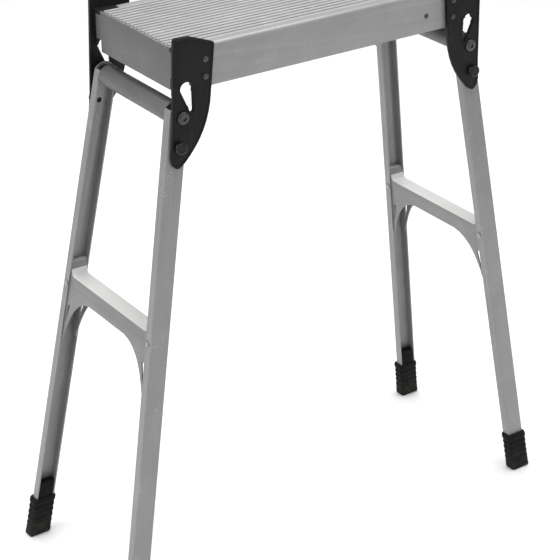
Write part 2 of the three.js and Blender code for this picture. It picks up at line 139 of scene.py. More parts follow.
class Canvas:
    """A node tree that is being drawn."""

    def __init__(self, tree: bpy.types.NodeTree) -> None:
        """Starts on a shader or geometry tree."""
        self.tree = tree

    def add(self, kind: str, feeds: dict | None = None, **settings: object) -> bpy.types.Node:
        """Adds a node, sets its properties and feeds its inputs.

        Args:
            kind: The node's type name.
            feeds: Sockets to link or values to set, by input name or number.
            settings: Properties of the node by name.

        Returns:
            The new node.
        """
        node = self.tree.nodes.new(kind)
        for name, value in settings.items():
            setattr(node, name, value)
        for key, value in (feeds or {}).items():
            self.feed(node.inputs[key], value)
        return node

    def feed(self, socket: Socket, value: object) -> None:
        """Gives an input socket a link, when the value is a socket, or a plain value."""
        if isinstance(value, Socket):
            self.tree.links.new(value, socket)
        else:
            socket.default_value = value

    def math(self, operation: str, a: object, b: object = 0.0, clamp: bool = False) -> Socket:
        """Adds a Math node on two sockets or values; a clamped result stays from 0 to 1."""
        return self.add("ShaderNodeMath", {0: a, 1: b}, operation=operation, use_clamp=clamp).outputs[0]

    def blend(self, factor: object, a: object, b: object) -> Socket:
        """Adds a colour mix, where the factor says how much of b, and gives its colour socket."""
        feeds = {"Factor": factor, MIX_A: a, MIX_B: b}
        return self.add("ShaderNodeMix", feeds, data_type="RGBA").outputs[MIX_RESULT]

    def spread(
        self, value: object, low: float, high: float, to_low: float = 0.0, to_high: float = 1.0,
    ) -> Socket:
        """Adds a clamped Map Range, in which low becomes to_low and high becomes to_high."""
        feeds = {"Value": value, "From Min": low, "From Max": high, "To Min": to_low, "To Max": to_high}
        return self.add("ShaderNodeMapRange", feeds).outputs["Result"]

    def noise(self, place: Socket, scale: object, detail: float = 3.0, rough: float = 0.55) -> Socket:
        """Adds a noise texture of a scale per metre, with octaves and their roughness."""
        feeds = {"Vector": place, "Scale": scale, "Detail": detail, "Roughness": rough}
        return self.add("ShaderNodeTexNoise", feeds).outputs["Fac"]

    def bump(self, height: Socket, distance: float, under: Socket | None = None) -> Socket:
        """Adds a bump of a distance in metres, over another bump if there is one."""
        feeds = {"Distance": distance, "Height": height}
        if under is not None:
            feeds["Normal"] = under
        return self.add("ShaderNodeBump", feeds).outputs["Normal"]

    def xyz(self, x: object = 0.0, y: object = 0.0, z: object = 0.0) -> Socket:
        """Adds a Combine XYZ node and gives its vector socket."""
        return self.add("ShaderNodeCombineXYZ", {"X": x, "Y": y, "Z": z}).outputs[0]

    def sweep(self, curve: Socket, profile: Socket) -> Socket:
        """Adds a capped Curve to Mesh node and gives its mesh socket."""
        feeds = {"Curve": curve, "Profile Curve": profile, "Fill Caps": True}
        return self.add("GeometryNodeCurveToMesh", feeds).outputs[0]

    def join(self, *parts: Socket) -> Socket:
        """Adds a Join Geometry node over the parts and gives its geometry socket."""
        node = self.add("GeometryNodeJoinGeometry")
        for part in parts:
            self.feed(node.inputs[0], part)
        return node.outputs[0]


def shader_group(
    name: str, inputs: dict[str, float | None], outputs: list[str],
) -> tuple[Canvas, dict[str, Socket], dict[str, Socket]]:
    """Starts a shader node group with named sockets.

    Args:
        name: The group's name.
        inputs: Default by input name, or None for a vector.
        outputs: Names of the float outputs.

    Returns:
        The canvas, the input sockets by name and the output sockets by name.
    """
    tree = bpy.data.node_groups.new(name, "ShaderNodeTree")
    for label, default in inputs.items():
        kind = "NodeSocketVector" if default is None else "NodeSocketFloat"
        socket = tree.interface.new_socket(label, in_out="INPUT", socket_type=kind)
        if default is not None:
            socket.default_value = default
    for label in outputs:
        tree.interface.new_socket(label, in_out="OUTPUT", socket_type="NodeSocketFloat")
    canvas = Canvas(tree)
    entry = canvas.add("NodeGroupInput")
    leave = canvas.add("NodeGroupOutput")
    return canvas, {s.name: s for s in entry.outputs}, {s.name: s for s in leave.inputs}


def handling_group() -> bpy.types.NodeTree:
    """Builds the shared wear of a used surface: scuffs, soft blotches and rubbed edges."""
    canvas, entry, leave = shader_group(
        "handling_wear", {"Place": None, "Edge": 0.0, "Scuffs": 0.5}, ["Scuff", "Blotch", "Rubbed"],
    )
    place = entry["Place"]
    coarse = canvas.spread(canvas.noise(place, 26.0, 4.0), 0.54, 0.66)
    fine = canvas.spread(canvas.noise(place, 310.0, 2.0, 0.7), 0.5, 0.62)
    chipped = canvas.spread(canvas.noise(place, 120.0), 0.42, 0.6, 0.15, 1.0)
    broken = canvas.math("MULTIPLY", coarse, fine)
    canvas.feed(leave["Scuff"], canvas.math("MULTIPLY", broken, entry["Scuffs"]))
    canvas.feed(leave["Blotch"], canvas.spread(canvas.noise(place, 9.0), 0.32, 0.68))
    canvas.feed(leave["Rubbed"], canvas.math("MULTIPLY", entry["Edge"], chipped, clamp=True))
    return canvas.tree


def grain_group() -> bpy.types.NodeTree:
    """Builds the shared surface grain: long drawn lines and a fine tooth."""
    canvas, entry, leave = shader_group(
        "surface_grain", {"Place": None, "Stretched": None, "Tooth": 900.0}, ["Lines", "Tooth"],
    )
    canvas.feed(leave["Lines"], canvas.noise(entry["Stretched"], 1.0, 5.0, 0.65))
    canvas.feed(leave["Tooth"], canvas.noise(entry["Place"], entry["Tooth"], 2.0, 0.6))
    return canvas.tree


def floor_dust_group() -> bpy.types.NodeTree:
    """Builds the shared dust that settles near the floor and thins out above it."""
    canvas, entry, leave = shader_group("floor_dust", {"Place": None, "Reach": 0.06}, ["Dust"])
    split = canvas.add("ShaderNodeSeparateXYZ", {0: entry["Place"]})
    height = canvas.math("DIVIDE", split.outputs["Z"], entry["Reach"])
    fade = canvas.math("SUBTRACT", 1.0, height, clamp=True)
    patch = canvas.spread(canvas.noise(entry["Place"], 70.0, 4.0), 0.35, 0.7, 0.1, 1.0)
    canvas.feed(leave["Dust"], canvas.math("MULTIPLY", fade, patch, clamp=True))
    return canvas.tree


# ---- Finishes -----------------------------------------------------------------------------------


@dataclass(frozen=True)
class Finish:
    """One finish of the platform.

    Attributes:
        name: The material's name.
        color: Main linear colour.
        shade: Colour of the darker blotches.
        bare: Colour of rubbed edges and scuffs.
        metallic: Share of metal in the surface.
        rough: Lowest and highest roughness.
        grain: Direction of the drawn lines, or None on a moulded surface.
        line_depth: Bump of the lines, in metres.
        tooth: Scale of the fine tooth, per metre.
        tooth_depth: Bump of the tooth, in metres.
        scuffs: Strength of the scuffs.
        dust: Height above the floor that dust reaches, in metres, or 0.
        specular: Specular level of the surface.
    """

    name: str
    color: tuple[float, float, float]
    shade: tuple[float, float, float]
    bare: tuple[float, float, float]
    metallic: float
    rough: tuple[float, float]
    grain: Grain | None = None
    line_depth: float = 0.0
    tooth: float = 900.0
    tooth_depth: float = 0.00002
    scuffs: float = 0.4
    dust: float = 0.0
    specular: float = 0.5


FINISHES: dict[str, Finish] = {
    "tread": Finish(
        "ribbed_tread", (0.37, 0.37, 0.37), (0.325, 0.325, 0.325), (0.56, 0.56, 0.56), 0.25, (0.42, 0.6),
        Grain.LENGTHWISE, 0.00004, scuffs=0.6,
    ),
    "rail": Finish(
        "rail_aluminium", (0.32, 0.32, 0.322), (0.27, 0.27, 0.272), (0.52, 0.52, 0.52), 0.3, (0.36, 0.52),
        Grain.LENGTHWISE, 0.00003,
    ),
    "panel": Finish(
        "end_panel_grey", (0.14, 0.141, 0.145), (0.112, 0.113, 0.117), (0.3, 0.3, 0.3), 0.25, (0.4, 0.56),
        Grain.ACROSS, 0.00003,
    ),
    "leg": Finish(
        "leg_aluminium", (0.275, 0.278, 0.277), (0.235, 0.237, 0.237), (0.5, 0.5, 0.5), 0.3, (0.34, 0.5),
        Grain.UPRIGHT, 0.00003, dust=0.12,
    ),
    # Painted light: a much lighter copy of the rung's metal, put on the rung's upward faces as a painted
    # highlight from the light above.
    "rung": Finish(
        "rung_bright", (0.72, 0.72, 0.71), (0.64, 0.64, 0.63), (0.85, 0.85, 0.84), 0.2, (0.34, 0.5),
        Grain.ACROSS, 0.00002,
    ),
    # Painted shade: a darker copy of the same rung metal, put on the rung's side plates and every face that
    # does not point up.
    "arch": Finish(
        "arch_grey", (0.24, 0.24, 0.237), (0.20, 0.20, 0.197), (0.45, 0.45, 0.445), 0.2, (0.4, 0.56),
        Grain.ACROSS, 0.00002,
    ),
    "bracket": Finish(
        "bracket_black", (0.0085, 0.009, 0.0088), (0.005, 0.0053, 0.0052), (0.1, 0.1, 0.1), 0.0, (0.36, 0.54),
        None, 0.0, 1100.0, 0.00005, 0.25, specular=0.17,
    ),
    "button": Finish(
        "button_black", (0.016, 0.016, 0.016), (0.01, 0.01, 0.01), (0.06, 0.06, 0.06), 0.0, (0.28, 0.42),
        None, 0.0, 1500.0, 0.00002, 0.2, specular=0.3,
    ),
    "rubber": Finish(
        "boot_rubber", (0.0075, 0.0072, 0.0072), (0.0045, 0.0045, 0.0045), (0.026, 0.025, 0.024),
        0.0, (0.66, 0.88), None, 0.0, 700.0, 0.00008, 0.5, dust=0.05, specular=0.13,
    ),
    "oiled": Finish(
        "oiled_steel", (0.085, 0.085, 0.087), (0.05, 0.05, 0.052), (0.3, 0.3, 0.31), 0.7, (0.26, 0.42),
        None, 0.0, 600.0, 0.00002, 0.4,
    ),
    "zinc": Finish(
        "zinc_steel", (0.42, 0.42, 0.43), (0.28, 0.28, 0.29), (0.6, 0.6, 0.61), 0.85, (0.24, 0.44),
        None, 0.0, 600.0, 0.00002, 0.4,
    ),
}
DUST = (0.28, 0.26, 0.23, 1.0)


class Workshop:
    """Makes the materials, with the node groups that they share."""

    def __init__(self) -> None:
        """Builds the shared groups."""
        self.wear = handling_group()
        self.grain = grain_group()
        self.dust = floor_dust_group()
        self.made: dict[str, bpy.types.Material] = {}

    def material(self, key: str) -> bpy.types.Material:
        """Gives the material of a finish's key, made on first use."""
        if key not in self.made:
            self.made[key] = self._build(FINISHES[key])
        return self.made[key]

    @staticmethod
    def _group(canvas: Canvas, tree: bpy.types.NodeTree, **feeds: object) -> bpy.types.NodeOutputs:
        """Places a shared group, feeds its inputs by name and gives its outputs."""
        return canvas.add("ShaderNodeGroup", feeds, node_tree=tree).outputs

    def _build(self, finish: Finish) -> bpy.types.Material:
        """Builds one material.

        Args:
            finish: The values to use.

        Returns:
            The material.
        """
        material = bpy.data.materials.new(finish.name)
        material.use_nodes = True
        canvas = Canvas(material.node_tree)
        place = canvas.add("ShaderNodeTexCoord").outputs["Object"]
        scale = (finish.grain or Grain.LENGTHWISE).value
        stretched = canvas.add("ShaderNodeMapping", {"Vector": place, "Scale": scale}).outputs["Vector"]
        edge = canvas.add("ShaderNodeAttribute", attribute_name="edge").outputs["Fac"]
        wear = self._group(canvas, self.wear, Place=place, Edge=edge, Scuffs=finish.scuffs)
        grain = self._group(canvas, self.grain, Place=place, Stretched=stretched, Tooth=finish.tooth)
        shade = (*finish.shade, 1.0)
        color = canvas.blend(wear["Blotch"], shade, (*finish.color, 1.0))
        if finish.grain:
            color = canvas.blend(canvas.spread(grain["Lines"], 0.35, 0.65, 0.0, 0.35), color, shade)
        worn = canvas.math("MAXIMUM", wear["Rubbed"], wear["Scuff"], clamp=True)
        color = canvas.blend(canvas.math("MULTIPLY", worn, 0.7), color, (*finish.bare, 1.0))
        rough = canvas.spread(grain["Tooth"], 0.3, 0.7, *finish.rough)
        rough = canvas.math("ADD", rough, canvas.math("MULTIPLY", wear["Scuff"], 0.12), clamp=True)
        if finish.dust:
            dust = self._group(canvas, self.dust, Place=place, Reach=finish.dust)["Dust"]
            color = canvas.blend(canvas.math("MULTIPLY", dust, 0.12), color, DUST)
            rough = canvas.math("ADD", rough, canvas.math("MULTIPLY", dust, 0.15), clamp=True)
        normal = canvas.bump(grain["Tooth"], finish.tooth_depth)
        if finish.line_depth:
            normal = canvas.bump(grain["Lines"], finish.line_depth, normal)
        surface = {
            "Base Color": color,
            "Roughness": rough,
            "Metallic": finish.metallic,
            "Specular IOR Level": finish.specular,
            "Normal": normal,
        }
        for name, value in surface.items():
            canvas.feed(material.node_tree.nodes["Principled BSDF"].inputs[name], value)
        return material


# ---- Mesh work ----------------------------------------------------------------------------------


@dataclass(frozen=True)
class LegLine:
    """The line that a leg follows down to the floor, and its channel's section.

    Attributes:
        deck: Height of the tread.
        x: Lengthwise distance of the leg from the middle, at the height of the tread.
        y: The same across.
        splay_x: How far a leg spreads lengthwise for each metre that it drops.
        splay_y: The same across.
        width: Width of the channel.
        depth: Depth of the channel.
    """

    deck: float = 840 * MM
    x: float = 230.6 * MM
    y: float = 85.3 * MM
    splay_x: float = 0.167
    splay_y: float = 0.07
    width: float = 30 * MM
    depth: float = 14 * MM

    def at(self, z: float, end: End, side: Side) -> Vector:
        """The centre of a leg at height z."""
        drop = self.deck - z
        x, y = self.x + self.splay_x * drop, self.y + self.splay_y * drop
        return Vector((end.value * x, side.value * y, z))

    def leaned(self, point: Vector, end: End, side: Side) -> Vector:
        """A point drawn beside an upright leg, moved onto the real one; +X and +Y point outwards."""
        centre = self.at(point.z, end, side)
        return centre + Vector((end.value * point.x, side.value * point.y, 0.0))


LINE = LegLine()


def finished_mesh(shape: BMesh, name: str, crease: float = SHARP_ANGLE) -> Mesh:
    """Turns a bmesh into a mesh with smooth faces and sharp creases.

    Args:
        shape: The shape; it is freed.
        name: The mesh's name.
        crease: Angle in radians past which an edge stays sharp.

    Returns:
        The mesh.
    """
    shape.normal_update()
    for face in shape.faces:
        face.smooth = True
    for edge in shape.edges:
        edge.smooth = not (len(edge.link_faces) == 2 and edge.calc_face_angle() > crease)
    mesh = bpy.data.meshes.new(name)
    shape.to_mesh(mesh)
    shape.free()
    return mesh


def closed_loft(shape: BMesh, rings: list[list[Vector]], joined: bool = False) -> None:
    """Skins a stack of rings of equal length.

    Args:
        shape: Where to add the faces.
        rings: The rings in order.
        joined: True to join the last ring to the first, False to cap both ends.
    """
    rows = [[shape.verts.new(point) for point in ring] for ring in rings]
    count = len(rows[0])
    pairs = list(zip(rows, rows[1:]))
    if joined:
        pairs.append((rows[-1], rows[0]))
    for low, high in pairs:
        for i in range(count):
            j = (i + 1) % count
            shape.faces.new((low[i], low[j], high[j], high[i]))
    if not joined:
        shape.faces.new(list(reversed(rows[0])))
        shape.faces.new(rows[-1])


def rounded_ring(
    half_x: float, half_y: float, radius: float, shift_y: float, z: float, steps: int = 5,
) -> list[Vector]:
    """A rounded rectangle of points at height z.

    Args:
        half_x: Half of its width.
        half_y: Half of its depth.
        radius: Corner radius.
        shift_y: Where its centre is in Y.
        z: Its height.
        steps: Segments in each corner.

    Returns:
        The points, in order round the ring.
    """
    points = []
    for quarter in range(4):
        turn = quarter * math.pi / 2
        cx = (half_x - radius) * (1 if quarter in (0, 3) else -1)
        cy = (half_y - radius) * (1 if quarter in (0, 1) else -1) + shift_y
        for i in range(steps + 1):
            angle = turn + (math.pi / 2) * i / steps
            points.append(Vector((cx + radius * math.cos(angle), cy + radius * math.sin(angle), z)))
    return points


def turned(shape: BMesh, profile: Profile, centre: Vector, way: int, steps: int) -> None:
    """Adds a piece turned about a line along Y.

    Args:
        shape: Where to add it.
        profile: Radius and distance along Y, outwards; it starts and ends on the axis or closes on itself.
        centre: A point on the line, at distance 0.
        way: +1 or -1, the side of Y that outwards is.
        steps: Segments round the piece.
    """
    closes = profile[0] == profile[-1]
    stations = profile[:-1] if closes else profile
    columns: list[list[bmesh.types.BMVert]] = []
    for radius, along in stations:
        if radius == 0.0:
            columns.append([shape.verts.new(centre + Vector((0.0, way * along, 0.0)))])
            continue
        ring = []
        for i in range(steps):
            angle = 2 * math.pi * i / steps
            offset = Vector((radius * math.cos(angle), way * along, radius * math.sin(angle)))
            ring.append(shape.verts.new(centre + offset))
        columns.append(ring)
    pairs = list(zip(columns, columns[1:]))
    if closes:
        pairs.append((columns[-1], columns[0]))
    for low, high in pairs:
        for i in range(steps):
            j = (i + 1) % steps
            if len(low) == 1:
                shape.faces.new((low[0], high[j], high[i]))
            elif len(high) == 1:
                shape.faces.new((low[i], low[j], high[0]))
            else:
                shape.faces.new((low[i], low[j], high[j], high[i]))


def cad_shape(node: str) -> BMesh:
    """A welded copy of a CAD node."""
    shape = bmesh.new()
    shape.from_mesh(frame["nodes"][node].data)
    bmesh.ops.remove_doubles(shape, verts=shape.verts, dist=WELD)
    return shape


def softened(node: str, width: float, segments: int = 2) -> BMesh:
    """A copy of a CAD node with its sharp edges rounded; the rounded faces are marked for wear.

    Args:
        node: The CAD node.
        width: Width of the rounding, in metres.
        segments: Segments across the rounding.

    Returns:
        The shape.
    """
    shape = cad_shape(node)
    bmesh.ops.dissolve_limit(shape, angle_limit=FLAT_ANGLE, verts=shape.verts, edges=shape.edges)
    mark = shape.faces.layers.float.new("edge")
    sharp = [e for e in shape.edges if len(e.link_faces) == 2 and e.calc_face_angle() > SHARP_ANGLE]
    result = bmesh.ops.bevel(
        shape, geom=sharp, offset=width, offset_type="OFFSET", segments=segments,
        profile=0.6, affect="EDGES", clamp_overlap=True,
    )
    for face in result["faces"]:
        face[mark] = 1.0
    return shape


# ---- Geometry nodes -----------------------------------------------------------------------------


class Pattern:
    """A geometry node tree with named inputs, whose result is kept as a plain mesh."""

    def __init__(self, name: str, inputs: dict[str, float]) -> None:
        """Starts the tree.

        Args:
            name: The tree's name.
            inputs: Default by input name; a whole number makes an integer input.
        """
        self.tree = bpy.data.node_groups.new(name, "GeometryNodeTree")
        self.ids: dict[str, str] = {}
        self._input("Geometry", "Geometry")
        for label, default in inputs.items():
            self._input(label, "Int" if isinstance(default, int) else "Float").default_value = default
        self._input("Material", "Material")
        self.tree.interface.new_socket("Geometry", in_out="OUTPUT", socket_type="NodeSocketGeometry")
        self.canvas = Canvas(self.tree)
        self.entry = {s.name: s for s in self.canvas.add("NodeGroupInput").outputs}
        self.leave = self.canvas.add("NodeGroupOutput").inputs["Geometry"]

    def _input(self, label: str, kind: str) -> bpy.types.NodeTreeInterfaceSocket:
        """Adds an input to the tree and keeps its identifier."""
        socket = self.tree.interface.new_socket(label, in_out="INPUT", socket_type="NodeSocket" + kind)
        self.ids[label] = socket.identifier
        return socket

    def close(self, geometry: Socket) -> None:
        """Ends the tree in Realize Instances and Set Material."""
        real = self.canvas.add("GeometryNodeRealizeInstances", {"Geometry": geometry})
        feeds = {"Geometry": real.outputs["Geometry"], "Material": self.entry["Material"]}
        paint = self.canvas.add("GeometryNodeSetMaterial", feeds)
        self.canvas.feed(self.leave, paint.outputs["Geometry"])

    def scatter(self, geometry: Socket) -> None:
        """Ends the tree with a copy at each point of the carrier, its Z turned to the point's axis."""
        add = self.canvas.add
        axis = add("GeometryNodeInputNamedAttribute", {"Name": "axis"}, data_type="FLOAT_VECTOR")
        turn = add("FunctionNodeAlignRotationToVector", {"Vector": axis.outputs[0]}, axis="Z")
        feeds = {"Points": self.entry["Geometry"], "Instance": geometry, "Rotation": turn.outputs[0]}
        self.close(add("GeometryNodeInstanceOnPoints", feeds).outputs[0])

    def bake(self, name: str, carrier: Mesh, values: dict[str, object]) -> Mesh:
        """Runs the tree on a carrier mesh.

        Args:
            name: The result's name.
            carrier: The mesh that the tree reads.
            values: Input values by name.

        Returns:
            The result as a plain mesh.
        """
        holder = bpy.data.objects.new(name + "_carrier", carrier)
        bpy.context.scene.collection.objects.link(holder)
        modifier = holder.modifiers.new("pattern", "NODES")
        modifier.node_group = self.tree
        for label, value in values.items():
            modifier[self.ids[label]] = value
        graph = bpy.context.evaluated_depsgraph_get()
        mesh = bpy.data.meshes.new_from_object(holder.evaluated_get(graph))
        mesh.name = name
        holder.modifiers.clear()
        bpy.data.objects.remove(holder)
        return mesh


def rounded_bar(canvas: Canvas, length: Socket, width: Socket, height: Socket, radius: float) -> Socket:
    """Adds a bar along X with a rounded section, centred on the origin.

    Args:
        canvas: Where to add it.
        length: Socket with its length.
        width: Socket with its width across Y.
        height: Socket with its height.
        radius: Its edge radius.

    Returns:
        The bar's geometry socket.
    """
    half = canvas.math("MULTIPLY", length, 0.5)
    start = canvas.xyz(canvas.math("MULTIPLY", half, -1.0))
    line = canvas.add("GeometryNodeCurvePrimitiveLine", {"Start": start, "End": canvas.xyz(half)})
    section = canvas.add("GeometryNodeCurvePrimitiveQuadrilateral", {"Width": width, "Height": height})
    feeds = {"Curve": section.outputs[0], "Count": 3, "Radius": radius}
    fillet = canvas.add("GeometryNodeFilletCurve", feeds, mode="POLY")
    return canvas.sweep(line.outputs[0], fillet.outputs[0])


def ribbed_plank() -> Pattern:
    """Builds the tread's tree: a plate with a row of rounded ribs along it."""
    pattern = Pattern("ribbed_plank", {
        "Length": 500 * MM,
        "Width": 170 * MM,
        "Thickness": 5.6 * MM,
        "Top": 840 * MM,
        "Ribs": 19,
        "Rib Width": 5 * MM,
        "Rib Height": 1.6 * MM,
    })
    canvas, entry = pattern.canvas, pattern.entry
    base_top = canvas.math("SUBTRACT", entry["Top"], entry["Rib Height"])
    base_middle = canvas.math("SUBTRACT", base_top, canvas.math("MULTIPLY", entry["Thickness"], 0.5))
    plate = canvas.add("GeometryNodeTransform", {
        "Geometry": rounded_bar(canvas, entry["Length"], entry["Width"], entry["Thickness"], 0.8 * MM),
        "Translation": canvas.xyz(z=base_middle),
    })
    bar_height = canvas.math("MULTIPLY", entry["Rib Height"], 2.0)
    rib_length = canvas.math("SUBTRACT", entry["Length"], 4 * MM)
    bar = rounded_bar(canvas, rib_length, entry["Rib Width"], bar_height, 0.9 * MM)
    reach = canvas.math("SUBTRACT", entry["Width"], entry["Rib Width"])
    pitch = canvas.math("DIVIDE", reach, canvas.math("SUBTRACT", entry["Ribs"], 1.0))
    row = canvas.add("GeometryNodeMeshLine", {
        "Count": entry["Ribs"],
        "Start Location": canvas.xyz(y=canvas.math("MULTIPLY", reach, -0.5), z=base_top),
        "Offset": canvas.xyz(y=pitch),
    }, mode="OFFSET")
    ribs = canvas.add("GeometryNodeInstanceOnPoints", {"Points": row.outputs[0], "Instance": bar})
    pattern.close(canvas.join(ribs.outputs[0], plate.outputs[0]))
    return pattern


def rivet_rows() -> Pattern:
    """Builds the rivets' tree: a domed head on a thin flange at each point of the carrier."""
    pattern = Pattern("rivet_rows", {"Radius": RIVET[0], "Height": RIVET[1]})
    canvas, radius, height = pattern.canvas, pattern.entry["Radius"], pattern.entry["Height"]
    ball = canvas.add("GeometryNodeMeshUVSphere", {"Segments": 20, "Rings": 10, "Radius": 1.0})
    across = canvas.math("MULTIPLY", radius, 0.86)
    size = canvas.xyz(across, across, height)
    dome = canvas.add("GeometryNodeTransform", {"Geometry": ball.outputs["Mesh"], "Scale": size})
    depth = canvas.math("MULTIPLY", height, 0.7)
    flange = canvas.add("GeometryNodeMeshCylinder", {"Vertices": 20, "Radius": radius, "Depth": depth})
    pattern.scatter(canvas.join(dome.outputs[0], flange.outputs["Mesh"]))
    return pattern


def coil() -> Pattern:
    """Builds the coil springs' tree: a helix of round wire along Y at each point of the carrier."""
    pattern = Pattern("button_coils", {
        "Turns": SPRING_TURNS, "Radius": 4.9 * MM, "Height": 4.4 * MM, "Wire": SPRING_WIRE,
    })
    canvas, entry = pattern.canvas, pattern.entry
    helix = canvas.add("GeometryNodeCurveSpiral", {
        "Resolution": 28,
        "Rotations": entry["Turns"],
        "Start Radius": entry["Radius"],
        "End Radius": entry["Radius"],
        "Height": entry["Height"],
    })
    wire = canvas.add("GeometryNodeCurvePrimitiveCircle", {"Resolution": 8, "Radius": entry["Wire"]})
    pattern.scatter(canvas.sweep(helix.outputs[0], wire.outputs[0]))
    return pattern


def point_carrier(points: Points) -> Mesh:
    """A mesh of loose points, each with the axis that goes with it, for a pattern to read."""
    mesh = bpy.data.meshes.new("points")
    mesh.from_pydata([tuple(place) for place, _ in points], [], [])
    axes = mesh.attributes.new("axis", "FLOAT_VECTOR", "POINT")
    for i, (_, axis) in enumerate(points):
        axes.data[i].vector = axis
    return mesh


# ---- The platform's pieces ----------------------------------------------------------------------


def rivet_seat(node: str, along: int, outward: int) -> Vector:
    """The middle of the seat under a rivet's head.

    Args:
        node: The rivet's CAD node.
        along: The axis that it lies along, 0 for X or 1 for Y.
        outward: +1 or -1, the way its head faces on that axis.

    Returns:
        The point.
    """
    low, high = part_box(node)
    point = [(a + b) / 2 for a, b in zip(low, high)]
    point[along] = (high if outward > 0 else low)[along] - outward * RIVET[1]
    return Vector(point)


@dataclass(frozen=True)
class Turning:
    """Where a CAD node that is round about a line along Y lies.

    Attributes:
        near: Distance of its inner end from the middle.
        far: Distance of its outer end.
        radius: Its radius.
        centre: The point of its line in the middle plane.
    """

    near: float
    far: float
    radius: float
    centre: Vector

    @classmethod
    def of(cls, node: str) -> "Turning":
        """Reads it from a CAD node's box."""
        low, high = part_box(node)
        near, far = sorted((abs(low[1]), abs(high[1])))
        centre = Vector(((low[0] + high[0]) / 2, 0.0, (low[2] + high[2]) / 2))
        return cls(near, far, (high[0] - low[0]) / 2, centre)


@dataclass
class Builder:
    """What every sub-assembly uses: the materials, the patterns and the way a piece joins the frame."""

    workshop: Workshop = field(default_factory=Workshop)
    rivets: Pattern = field(default_factory=rivet_rows)
    coils: Pattern = field(default_factory=coil)

    def put(self, name: str, mesh: Mesh, finish: str, slot: Slot, body: str, *nodes: str) -> None:
        """Adds a finished piece, on its body and in place of its CAD nodes.

        Args:
            name: The piece's name.
            mesh: Its mesh, in place.
            finish: Key of its finish.
            slot: Its material slot in the record; not used.
            body: The CAD body that it rides on.
            nodes: The CAD nodes that it stands for.
        """
        piece = bpy.data.objects.new(name, mesh)
        bpy.context.scene.collection.objects.link(piece)
        mesh.materials.clear()
        mesh.materials.append(self.workshop.material(finish))
        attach(piece, body)
        if nodes:
            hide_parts(*nodes)
        LOG.info("%s: %d faces on %s", name, len(mesh.polygons), body)

    def put_softened(self, node: str, width: float, finish: str, slot: Slot, body: str) -> None:
        """Adds a CAD node again, with its edges rounded by a width in metres."""
        self.put(node + "_skin", finished_mesh(softened(node, width), node), finish, slot, body, node)

    def put_turned(
        self, node: str, suffix: str, profile: Profile, centre: Vector, way: int,
        finish: str, slot: Slot, body: str, steps: int = 48,
    ) -> None:
        """Adds a piece turned about a line along Y, in place of its CAD node.

        Args:
            node: The CAD node.
            suffix: What the piece's name adds to the node's.
            profile: Radius and distance along Y, outwards.
            centre: A point on the line, at distance 0.
            way: +1 or -1, the side of Y that outwards is.
            finish: Key of its finish.
            slot: Its material slot.
            body: Its body.
            steps: Segments round the piece.
        """
        shape = bmesh.new()
        turned(shape, profile, centre, way, steps)
        bmesh.ops.recalc_face_normals(shape, faces=shape.faces)
        self.put(node + suffix, finished_mesh(shape, node), finish, slot, body, node)

    def put_baked(
        self, name: str, pattern: Pattern, carrier: Mesh, values: dict[str, object],
        finish: str, slot: Slot, body: str, *nodes: str,
    ) -> None:
        """Adds the result of a pattern.

        Args:
            name: The piece's name.
            pattern: The pattern to run.
            carrier: The mesh that it reads.
            values: Its input values by name, except the material.
            finish: Key of the piece's finish.
            slot: Its material slot.
            body: Its body.
            nodes: The CAD nodes that it stands for.
        """
        values = {**values, "Material": self.workshop.material(finish)}
        self.put(name, pattern.bake(name, carrier, values), finish, slot, body, *nodes)

    def put_rivets(
        self, name: str, points: Points, size: tuple[float, float], finish: str, body: str, *nodes: str,
    ) -> None:
        """Adds a set of rivets of one radius and height, at points with an axis each."""
        values = {"Radius": size[0], "Height": size[1]}
        carrier = point_carrier(points)
        self.put_baked(name, self.rivets, carrier, values, finish, Slot.FASTENER, body, *nodes)


@dataclass
class Deck:
    """The tread, its two rails, its end panels and its braces.

    Attributes:
        ribs: Number of ribs on the tread.
        rib_width: Width of a rib.
        rib_height: Height of a rib.
        plate: Thickness of the tread under the ribs.
        rounding: Rounding of the rails' and braces' edges.
        panel_rounding: Rounding of the end panels' edges.
        rivet_z: Height of the rivet in the face of each rail.
        rivet_x: How far it is from the middle, on the right.
    """

    builder: Builder
    ribs: int = 19
    rib_width: float = 5 * MM
    rib_height: float = 1.6 * MM
    plate: float = 5.6 * MM
    rounding: float = 0.5 * MM
    panel_rounding: float = 0.6 * MM
    rivet_z: float = 806 * MM
    rivet_x: float = 165 * MM

    def build(self) -> None:
        """Builds every piece of the deck."""
        self.tread()
        soften = self.builder.put_softened
        for side in Side:
            soften(f"{side.word}_rail", self.rounding, "rail", Slot.RAIL, "platform")
        for end in End:
            soften(f"{end.word}_end_panel", self.panel_rounding, "panel", Slot.PANEL, "platform")
            soften(f"{end.word}_deck_brace", self.rounding, "rail", Slot.RAIL, "platform")
        self.rail_rivets()

    def tread(self) -> None:
        """Builds the ribbed tread."""
        low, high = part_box("deck_panel")
        values = {
            "Length": high[0] - low[0],
            "Width": high[1] - low[1],
            "Thickness": self.plate,
            "Top": high[2],
            "Ribs": self.ribs,
            "Rib Width": self.rib_width,
            "Rib Height": self.rib_height,
        }
        carrier = bpy.data.meshes.new("tread_carrier")
        self.builder.put_baked(
            "ribbed_tread", ribbed_plank(), carrier, values, "tread", Slot.DECK, "platform", "deck_panel",
        )

    def rail_rivets(self) -> None:
        """Builds the dark rivet near the right end of each rail."""
        points = []
        for side in Side:
            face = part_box(f"{side.word}_rail")[1 if side is Side.BACK else 0][1]
            points.append((Vector((self.rivet_x, face, self.rivet_z)), Vector((0, side.value, 0))))
        self.builder.put_rivets("rail_rivets", points, RAIL_RIVET, "oiled", "platform")


